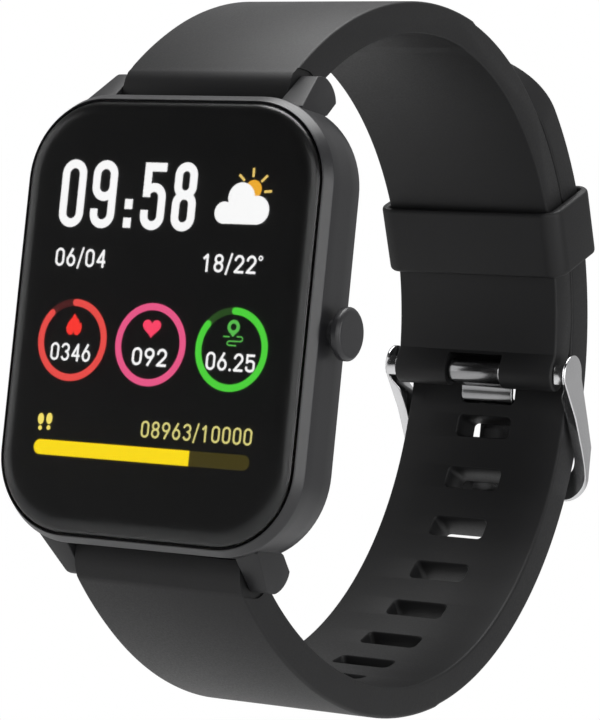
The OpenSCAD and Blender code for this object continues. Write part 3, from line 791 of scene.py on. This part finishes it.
lower = make("strap_long_half", *long_half(), "silicone", "watch", "silicone", ("strap_lower",), 40)
tools = []
for a in SLOT_ANGLES:
    inner_curve = LOW_IN if a < -8 else TAIL_IN
    tools.append(slot_tool(a, ray_radius(inner_curve, a), ray_radius(LOW_OUT, a)))
front = [(-20, -22), (-4.3, -22), (-4.42, -24.4), (-4.15, -25.4), (-3.7, -26.3), (-3.3, -27.1), (-20, -40)]
cut(lower, [stack([[(x, y, z) for y, z in front] for x in (-12, 12)])])
cut(lower, reliefs(-1) + tools)
bm = bmesh.new()
for sz in (-1, 1):
    lip = [(y, z * sz) for y, z in ((-1.92, 22.95), (-1.0, 22.95), (-0.6, 24.0), (-1.92, 24.0))]
    add_to(bm, prism(lip, -9.9, 9.9, 0.08))
from_bm("strap_end_lips", bm, "silicone", "watch", "silicone")

# ------------------------------------------------------------------ keeper
KEEPER_ANGLE, KEEPER_IN, KEEPER_OUT, KEEPER_HALF_W = 27.5, 32.45, 41.42, 10.65
KEEPER_LENGTH, KEEPER_WALL, KEEPER_SIDE = 7.9, 0.93, 1.3
keeper_half_depth = (KEEPER_OUT - KEEPER_IN) / 2
keeper_middle = (KEEPER_IN + KEEPER_OUT) / 2


def keeper_loop(grow_x, grow_y, r, s):
    """Outline of the loop's hole, grown sideways and in depth, at the distance s along the strap."""
    ca, sa = math.cos(math.radians(KEEPER_ANGLE)), math.sin(math.radians(KEEPER_ANGLE))
    hole = rounded(KEEPER_HALF_W + grow_x, keeper_half_depth + grow_y, r, 10)
    out = [(x, keeper_middle + q) for x, q in hole]
    return [(x, STRAP_C[0] + q * ca - s * sa, STRAP_C[1] + q * sa + s * ca) for x, q in out]


h = KEEPER_LENGTH / 2
ring = []
rim = ((0.0, 0.45), (0.02, 0.3), (0.1, 0.12), (0.25, 0), (0.75, 0), (0.9, 0.12), (0.98, 0.3), (1.0, 0.5))
for f, s in [(f, inset - h) for f, inset in rim] + [(f, h - inset) for f, inset in rim[::-1]]:
    ring.append(keeper_loop(KEEPER_SIDE * f, KEEPER_WALL * f, 0.45 + 1.85 * f, s))
make("strap_keeper", *stack(ring, closed=True), "silicone", "keeper", "silicone", ("keeper",), 40)

# ------------------------------------------------------------------ buckle
ARM_IN, ARM_OUT, BAR_TOP, BAR_LOW = 10.8, 12.1, -9.6, -12.4
EYE, EYE_Y, EYE_Z = 2.35, 63.0, 2.3
ARM_THIN, BEND_Z, BEND_IN, BEND_OUT = 0.85, -7.2, 2.4, 3.0
# edges of the arms on the wrist side and the outer side, as (height, depth)
WRIST = [(4.65, 63.0), (2.3, 60.65), (1.25, 60.9), (-0.1, 62.2), (-2.85, 64.85), (-6.6, 67.5),
         (-8.6, 68.6), (-9.7, 68.9), (-12.4, 68.9)]
OUTER = [(4.65, 63.0), (2.3, 65.35), (-2.55, 68.1), (-5.7, 69.8), (-8.5, 69.75), (-12.4, 69.9)]


def side(table, z):
    """Depth of a buckle arm edge at height z."""
    sign = -1 if table is WRIST else 1
    if z >= (1.25 if table is WRIST else 2.3):
        return EYE_Y + sign * math.sqrt(max(EYE ** 2 - (z - EYE_Z) ** 2, 0))
    for (z0, y0), (z1, y1) in zip(table, table[1:]):
        if z1 <= z <= z0:
            return y0 + (y1 - y0) * (z0 - z) / (z0 - z1)
    return table[-1][1]


def buckle():
    """The U frame: a bar swept down one arm, along the crossbar and up the other arm."""
    path = []
    for i in range(15):
        z = EYE_Z + EYE * math.cos(math.radians(8 + 68 * i / 14))
        path.append(((ARM_IN + ARM_THIN, z), (ARM_OUT, z)))
    zs = path[-1][0][1]
    for i in range(1, 31):
        z = zs + (BEND_Z - zs) * i / 30
        t = min(max((0.9 - z) / 1.8, 0), 1)
        path.append(((ARM_IN + ARM_THIN * (1 - t * t * (3 - 2 * t)), z), (ARM_OUT, z - 2.2 * i / 30)))
    for i in range(1, 13):
        t = math.radians(90 * i / 12)
        path.append(((ARM_IN - BEND_IN + BEND_IN * math.cos(t), BEND_Z - BEND_IN * math.sin(t)),
                     (ARM_OUT - BEND_OUT + BEND_OUT * math.cos(t), -9.4 - BEND_OUT * math.sin(t))))
    for i in range(1, 11):
        x = 1 - i / 10
        path.append((((ARM_IN - BEND_IN) * x, BAR_TOP), ((ARM_OUT - BEND_OUT) * x, BAR_LOW)))
    path += [((-a[0], a[1]), (-b[0], b[1])) for a, b in path[-2::-1]]
    loops = []
    for (xi, zi), (xo, zo) in path:
        wide = math.hypot(xo - xi, zo - zi)
        deep = side(OUTER, zi) - side(WRIST, zi)
        b = min(0.2, deep * 0.25)
        loop = []
        for u0, v0, a0 in ((1, 1, 0), (0, 1, 90), (0, 0, 180), (1, 0, 270)):
            for k in range(5):
                a = math.radians(a0 + 22.5 * k)
                u = u0 + ((-1 if u0 else 1) * b + b * math.cos(a)) / wide
                v = v0 + ((-1 if v0 else 1) * b + b * math.sin(a)) / deep
                x, z = xi + (xo - xi) * u, zi + (zo - zi) * u
                y0, y1 = side(WRIST, zi + (zo - zi) * u), side(OUTER, zi + (zo - zi) * u)
                loop.append((x, y0 + (y1 - y0) * v, z))
        loops.append(loop)
    return stack(loops)


make("buckle_body", *buckle(), "polished", "buckle", "buckle_steel", ("buckle_frame",), 40)
boss_heights = [0.95 + 0.225 * i for i in range(11)]
boss = [(EYE_Y - math.sqrt((EYE + 0.08) ** 2 - (z - EYE_Z) ** 2), z) for z in boss_heights]
bm = bmesh.new()
for sx in (-1, 1):
    x = sorted((sx * 10.56, sx * 11.9))
    add_to(bm, prism(boss + [(63.2, 3.2), (63.2, 0.95)], x[0], x[1], 0.1))
from_bm("buckle_bosses", bm, "polished", "buckle", "buckle_steel")


def smooth(pts, rounds):
    """Rounds the corners of a line and keeps its ends."""
    for _ in range(rounds):
        new = [pts[0]]
        for (a0, b0), (a1, b1) in zip(pts, pts[1:]):
            new.append((a0 * 0.75 + a1 * 0.25, b0 * 0.75 + b1 * 0.25))
            new.append((a0 * 0.25 + a1 * 0.75, b0 * 0.25 + b1 * 0.75))
        new.append(pts[-1])
        pts = new
    return pts


def tongue():
    """Flat tongue swept along its side view, with a narrower tip."""
    path = smooth([(62.6, 1.5), (63.6, 1.1), (64.5, 0.75), (64.85, 0.2), (64.87, -0.7), (65.3, -1.15),
                   (66, -1.2), (69.6, -1.2), (70.45, -1.5), (70.6, -2.4), (70.6, -6), (70.4, -9.2),
                   (69.88, -12.0)], 2)
    loops = []
    for i, (y, z) in enumerate(path):
        y0, z0 = path[max(i - 1, 0)]
        y1, z1 = path[min(i + 1, len(path) - 1)]
        length = math.hypot(y1 - y0, z1 - z0)
        ny, nz = -(z1 - z0) / length, (y1 - y0) / length
        share = i / (len(path) - 1)
        half = 3.4 if share < 0.93 else 3.4 - 0.9 * ((share - 0.93) / 0.07) ** 2
        loop = []
        for x, d in rounded(half, 0.3, 0.2, 4):
            loop.append((x, y + ny * d, z + nz * d))
        loops.append(loop)
    return stack(loops)


bm = bmesh.new()
barrel = [(-3.43, 0.8), (-3.43, 1.2), (-3.38, 1.36), (-3.22, 1.45),
          (3.22, 1.45), (3.38, 1.36), (3.43, 1.2), (3.43, 0.8)]
for verts, faces in (tongue(), lathe_x(PIN[0], PIN[1], barrel, 64)):
    shell = bmesh.new()
    me = bpy.data.meshes.new("shell")
    me.from_pydata(verts, [], faces)
    shell.from_mesh(me)
    outward(shell)
    bpy.data.meshes.remove(me)
    add_to(bm, shell)
from_bm("tongue_body", bm, "brushed", "tongue", "buckle_steel", ("tongue",), 40)

# ------------------------------------------- finishes of the carried nodes
CARRIED = {
    "glass_gasket": "seal", "back_cover": "cover", "back_gasket": "seal", "back_screws": "steel",
    "sensor_window": "lens", "sensor_board": "board", "sensor_leds": "emitter", "photodiode": "panel",
    "charge_contacts": "gold", "dock_magnets": "magnet", "carrier": "cover", "main_board": "board",
    "shield_can": "steel", "board_screws": "steel", "battery": "foil", "battery_pad": "seal",
    "battery_leads": "silicone", "display_flex": "flex", "sensor_flex": "flex", "antenna": "gold",
    "motor_can": "steel", "motor_rotor": "tungsten", "button_seal": "seal", "button_clip": "steel",
    "switch_body": "steel", "switch_plunger": "white", "switch_bracket": "steel", "lug_bars": "steel",
    "lug_bar_tips": "steel", "buckle_bar": "steel",
}
for node, mat in CARRIED.items():
    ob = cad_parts[node]
    ob = bpy.data.objects[ob] if isinstance(ob, str) else ob
    ob.data.materials.clear()
    ob.data.materials.append(FINISH[mat])


# -------------------------------------------------------- floor and lights
def stage_material(name, color, glow_strength):
    mat, nt, b = shader(name, color, 0.9)
    b.inputs["Emission Color"].default_value = (1, 1, 1, 1)
    b.inputs["Emission Strength"].default_value = glow_strength
    return mat


me = bpy.data.meshes.new("floor")
FLOOR_HALF, FLOOR_Z = 1.1, -0.13
corners = [(sx * FLOOR_HALF, sy * FLOOR_HALF, FLOOR_Z) for sx, sy in ((-1, -1), (1, -1), (1, 1), (-1, 1))]
me.from_pydata(corners, [], [(0, 1, 2, 3)])
floor = bpy.data.objects.new("floor", me)
scene.collection.objects.link(floor)
me.materials.append(stage_material("floor_pale", (0.62, 0.62, 0.62), 0.12))


def area(name, loc, aim, size, power, size_y=None):
    data = bpy.data.lights.new(name, "AREA")
    data.shape = "RECTANGLE"
    data.size, data.size_y = size, size_y or size
    data.energy = power
    ob = bpy.data.objects.new(name, data)
    scene.collection.objects.link(ob)
    ob.location = loc
    ob.rotation_mode = "QUATERNION"
    ob.rotation_quaternion = (Vector(aim) - Vector(loc)).to_track_quat("-Z", "Y")
    return ob


area("top", (0.0, 0.05, 0.55), (0, 0.03, 0), 0.5, 4.8)
area("right", (0.65, 0.03, 0.06), (0, 0.0, 0), 0.22, 1.3, 0.42)
area("front_left", (-0.6, -0.25, 0.1), (0, 0, 0), 0.45, 0.7)
area("front_right", (0.3, -0.62, 0.09), (0, 0, 0), 0.48, 1.4, 0.56)
area("edge", (0.6, -0.35, 0.06), (0, 0, 0), 0.16, 0.8, 0.4)

world = bpy.data.worlds.new("studio")
scene.world = world
world.use_nodes = True
nt = world.node_tree
nt.nodes.clear()
out = nt.nodes.new("ShaderNodeOutputWorld")
mix = nt.nodes.new("ShaderNodeMixShader")
path = nt.nodes.new("ShaderNodeLightPath")
fill = nt.nodes.new("ShaderNodeBackground")
fill.inputs["Color"].default_value = (1, 1, 1, 1)
fill.inputs["Strength"].default_value = 1.0
co = nt.nodes.new("ShaderNodeTexCoord")
split = nt.nodes.new("ShaderNodeSeparateXYZ")
shade = nt.nodes.new("ShaderNodeMapRange")
shade.inputs["From Min"].default_value, shade.inputs["From Max"].default_value = -0.5, 0.7
shade.inputs["To Min"].default_value, shade.inputs["To Max"].default_value = 0.02, 0.42
nt.links.new(co.outputs["Generated"], split.inputs["Vector"])
nt.links.new(split.outputs["Y"], shade.inputs["Value"])
nt.links.new(shade.outputs["Result"], fill.inputs["Color"])
seen = nt.nodes.new("ShaderNodeBackground")
seen.inputs["Color"].default_value = (1, 1, 1, 1)
seen.inputs["Strength"].default_value = 1.0
nt.links.new(path.outputs["Is Camera Ray"], mix.inputs["Fac"])
nt.links.new(fill.outputs["Background"], mix.inputs[1])
nt.links.new(seen.outputs["Background"], mix.inputs[2])
nt.links.new(mix.outputs["Shader"], out.inputs["Surface"])
